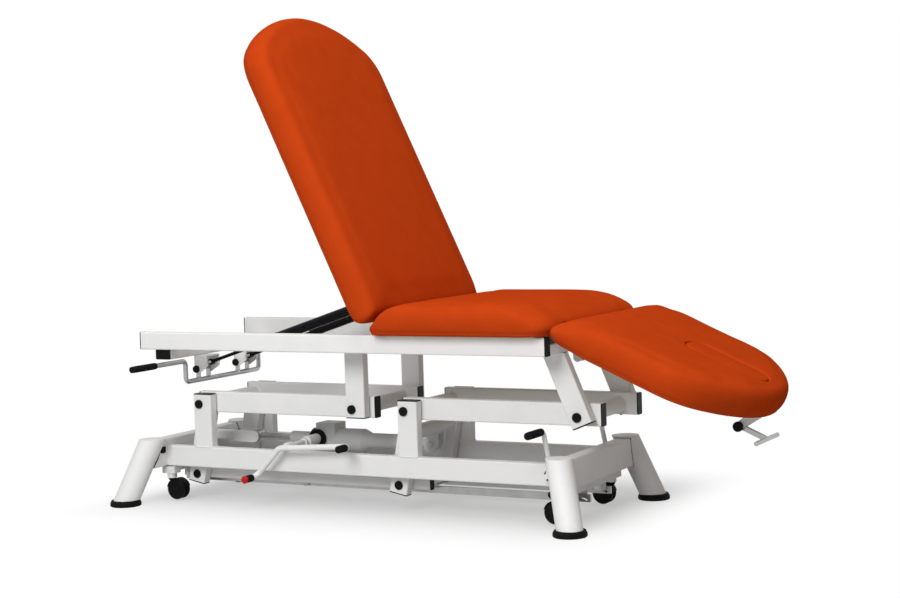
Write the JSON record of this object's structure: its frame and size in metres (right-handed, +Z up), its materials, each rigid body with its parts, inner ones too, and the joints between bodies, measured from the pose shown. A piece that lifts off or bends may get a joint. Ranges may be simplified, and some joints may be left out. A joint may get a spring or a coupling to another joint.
{
  "type": "examination table",
  "caption": "Height-adjustable examination table with a tilting backrest, drop foot section with a face opening, crank-arm lift on a splayed base and pedal-lowered casters.",
  "frame": {"origin": "bottom centre of the bounding box at the stored pose, on the floor under the rubber feet", "axes": "+X along the table towards the foot end, +Y to the side away from the rocker pedal, +Z up"},
  "size_m": [1.9262, 0.872, 1.3919],
  "materials": {
    "white_paint": "smooth white powder coat",
    "black_plastic": "satin black tube plugs and caps",
    "vinyl": "smooth orange-red vinyl over foam",
    "rubber": "matt black rubber",
    "satin_steel": "satin bright steel",
    "plywood": "plain plywood",
    "actuator_grey": "mid grey housing",
    "spring_black": "black cylinder paint",
    "caster_black": "black wheel plastic"
  },
  "bodies": {
    "base": {"base_rail_near": "white_paint", "base_rail_far": "white_paint", "cross_member_head": "white_paint", "cross_member_foot": "white_paint", "legs_head": "white_paint", "legs_foot": "white_paint", "rubber_feet": "rubber", "base_posts": "white_paint", "base_pivot_pins": "black_plastic", "base_plugs": "black_plastic", "actuator_anchor": "white_paint", "pedal_mount": "white_paint"},
    "head_crank_body": {"head_crank": "white_paint", "head_cross_tubes": "white_paint", "head_crank_plugs": "black_plastic"},
    "foot_crank_body": {"foot_crank": "white_paint", "foot_cross_tubes": "white_paint", "foot_crank_plugs": "black_plastic"},
    "tie_body": {"tie_bars": "white_paint", "tie_fittings": "black_plastic"},
    "actuator_rod_body": {"actuator_rod": "satin_steel"},
    "actuator_body": {"actuator_tube": "actuator_grey", "actuator_motor": "actuator_grey"},
    "top_frame": {"top_rail_near": "white_paint", "top_rail_far": "white_paint", "top_bearers": "white_paint", "upper_posts": "white_paint", "top_caps": "black_plastic", "frame_brackets": "white_paint", "seat_pad": "vinyl", "seat_board": "plywood"},
    "backrest": {"back_pad": "vinyl", "back_board": "plywood", "back_frame": "white_paint"},
    "leg_section": {"leg_pad": "vinyl", "leg_board": "plywood", "leg_frame": "white_paint"},
    "face_plug_body": {"face_plug": "vinyl"},
    "back_springs_low": {"back_spring_rods": "satin_steel"},
    "back_springs_high": {"back_spring_cylinders": "spring_black"},
    "leg_spring_low": {"leg_spring_rod": "satin_steel"},
    "leg_spring_high": {"leg_spring_cylinder": "spring_black"},
    "release": {"release_bar": "satin_steel", "release_grips": "rubber"},
    "leg_release": {"leg_release_lever": "satin_steel"},
    "rocker": {"rocker_pedal": "white_paint", "rocker_grips": "rubber"},
    "foot_pedal": {"foot_pedals": "white_paint", "foot_pedal_grips": "rubber"},
    "push": {"push_bars": "satin_steel"},
    "carriage_head": {"caster_carriage_head": "white_paint"},
    "fork_head_near": {"caster_fork_head_near": "caster_black"},
    "wheel_head_near": {"caster_wheel_head_near": "caster_black"},
    "fork_head_far": {"caster_fork_head_far": "caster_black"},
    "wheel_head_far": {"caster_wheel_head_far": "caster_black"},
    "carriage_foot": {"caster_carriage_foot": "white_paint"},
    "fork_foot_near": {"caster_fork_foot_near": "caster_black"},
    "wheel_foot_near": {"caster_wheel_foot_near": "caster_black"},
    "fork_foot_far": {"caster_fork_foot_far": "caster_black"},
    "wheel_foot_far": {"caster_wheel_foot_far": "caster_black"}
  },
  "joints": [
    {"name": "lift", "type": "hinge", "parent": "base", "child": "head_crank_body", "pos_m": [-0.72671, 0, 0.288], "axis": [0, -1, 0], "range_deg": [-5, 42]},
    {"name": "foot_lift", "type": "hinge", "parent": "base", "child": "foot_crank_body", "pos_m": [-0.04671, 0, 0.288], "axis": [0, -1, 0], "range_deg": [-5, 42]},
    {"name": "frame_level", "type": "hinge", "parent": "head_crank_body", "child": "top_frame", "pos_m": [-0.21071, 0, 0.288], "axis": [0, 1, 0], "range_deg": [-5, 42]},
    {"name": "tie_level", "type": "hinge", "parent": "head_crank_body", "child": "tie_body", "pos_m": [-0.76884, 0, 0.07717], "axis": [0, 1, 0], "range_deg": [-5, 42]},
    {"name": "actuator_tilt", "type": "hinge", "parent": "base", "child": "actuator_rod_body", "pos_m": [-0.66771, 0.036, 0.17], "axis": [0, -1, 0], "range_deg": [-0.14, 0.806]},
    {"name": "actuator_stroke", "type": "slide", "parent": "actuator_rod_body", "child": "actuator_body", "axis": [1, 0, 0], "range_m": [-0.0105, 0.0855]},
    {"name": "backrest_tilt", "type": "hinge", "parent": "top_frame", "child": "backrest", "pos_m": [-0.08271, 0, 0.535], "axis": [0, 1, 0], "range_deg": [-65, 7]},
    {"name": "back_spring_tilt", "type": "hinge", "parent": "top_frame", "child": "back_springs_low", "pos_m": [-0.72971, 0, 0.404], "axis": [0, -1, 0], "range_deg": [-9.2, 1.08]},
    {"name": "back_spring_stroke", "type": "slide", "parent": "back_springs_low", "child": "back_springs_high", "axis": [0.9524, 0, 0.3048], "range_m": [-0.0367, 0.0043]},
    {"name": "leg_tilt", "type": "hinge", "parent": "top_frame", "child": "leg_section", "pos_m": [0.43705, 0, 0.523], "axis": [0, 1, 0], "range_deg": [-24, 8]},
    {"name": "leg_spring_tilt", "type": "hinge", "parent": "top_frame", "child": "leg_spring_low", "pos_m": [0.40444, 0, 0.428], "axis": [0, 1, 0], "range_deg": [-21.7, 7.3]},
    {"name": "leg_spring_stroke", "type": "slide", "parent": "leg_spring_low", "child": "leg_spring_high", "axis": [0.9803, 0, -0.1977], "range_m": [-0.0141, 0.0415]},
    {"name": "face_plug_lift", "type": "slide", "parent": "leg_section", "child": "face_plug_body", "axis": [0.4067, 0, 0.9135], "range_m": [0, 0.09]},
    {"name": "backrest_release", "type": "hinge", "parent": "top_frame", "child": "release", "pos_m": [-0.75971, 0, 0.385], "axis": [0, 1, 0], "range_deg": [0, 12], "stiffness_Nm_per_rad": 8, "springref_deg": -5.73},
    {"name": "leg_section_release", "type": "hinge", "parent": "leg_section", "child": "leg_release", "pos_m": [0.84979, 0, 0.25714], "axis": [0, -1, 0], "range_deg": [0, 14], "stiffness_Nm_per_rad": 3, "springref_deg": -8.59},
    {"name": "rocker_pedal_turn", "type": "hinge", "parent": "base", "child": "rocker", "pos_m": [-0.43271, 0, 0.176], "axis": [0, 1, 0], "range_deg": [0, 12.24]},
    {"name": "foot_pedal_turn", "type": "hinge", "parent": "base", "child": "foot_pedal", "pos_m": [0.38629, 0, 0.133], "axis": [0, 1, 0], "range_deg": [0, 19.46]},
    {"name": "push_bar_slide", "type": "slide", "parent": "base", "child": "push", "axis": [1, 0, 0], "range_m": [-0.0251, 0]},
    {"name": "caster_drop_head", "type": "slide", "parent": "base", "child": "carriage_head", "axis": [0, 0, 1], "range_m": [-0.0101, 0]},
    {"name": "caster_swivel_head_near", "type": "hinge", "parent": "carriage_head", "child": "fork_head_near", "pos_m": [-0.84471, -0.158, 0.034], "axis": [0, 0, 1], "continuous": true},
    {"name": "caster_roll_head_near", "type": "hinge", "parent": "fork_head_near", "child": "wheel_head_near", "pos_m": [-0.82271, -0.158, 0.034], "axis": [0, 1, 0], "continuous": true},
    {"name": "caster_swivel_head_far", "type": "hinge", "parent": "carriage_head", "child": "fork_head_far", "pos_m": [-0.84471, 0.158, 0.034], "axis": [0, 0, 1], "continuous": true},
    {"name": "caster_roll_head_far", "type": "hinge", "parent": "fork_head_far", "child": "wheel_head_far", "pos_m": [-0.82271, 0.158, 0.034], "axis": [0, 1, 0], "continuous": true},
    {"name": "caster_drop_foot", "type": "slide", "parent": "base", "child": "carriage_foot", "axis": [0, 0, 1], "range_m": [-0.0101, 0]},
    {"name": "caster_swivel_foot_near", "type": "hinge", "parent": "carriage_foot", "child": "fork_foot_near", "pos_m": [0.41929, -0.158, 0.034], "axis": [0, 0, 1], "continuous": true},
    {"name": "caster_roll_foot_near", "type": "hinge", "parent": "fork_foot_near", "child": "wheel_foot_near", "pos_m": [0.39729, -0.158, 0.034], "axis": [0, 1, 0], "continuous": true},
    {"name": "caster_swivel_foot_far", "type": "hinge", "parent": "carriage_foot", "child": "fork_foot_far", "pos_m": [0.41929, 0.158, 0.034], "axis": [0, 0, 1], "continuous": true},
    {"name": "caster_roll_foot_far", "type": "hinge", "parent": "fork_foot_far", "child": "wheel_foot_far", "pos_m": [0.39729, 0.158, 0.034], "axis": [0, 1, 0], "continuous": true}
  ],
  "couplings": [
    {"joint": "foot_lift", "follows": "lift", "ratio": 1},
    {"joint": "frame_level", "follows": "lift", "ratio": 1},
    {"joint": "tie_level", "follows": "lift", "ratio": 1},
    {"joint": "actuator_tilt", "follows": "lift", "ratio": 0.018},
    {"joint": "actuator_stroke", "follows": "lift", "m_per_rad": 0.11607},
    {"joint": "back_spring_tilt", "follows": "backrest_tilt", "ratio": 0.14},
    {"joint": "back_spring_stroke", "follows": "backrest_tilt", "m_per_rad": 0.032},
    {"joint": "leg_spring_tilt", "follows": "leg_tilt", "ratio": 0.9},
    {"joint": "leg_spring_stroke", "follows": "leg_tilt", "m_per_rad": -0.098},
    {"joint": "foot_pedal_turn", "follows": "rocker_pedal_turn", "ratio": 1.5811},
    {"joint": "push_bar_slide", "follows": "rocker_pedal_turn", "m_per_rad": -0.117},
    {"joint": "caster_drop_head", "follows": "rocker_pedal_turn", "m_per_rad": -0.0468},
    {"joint": "caster_drop_foot", "follows": "rocker_pedal_turn", "m_per_rad": -0.0468}
  ]
}
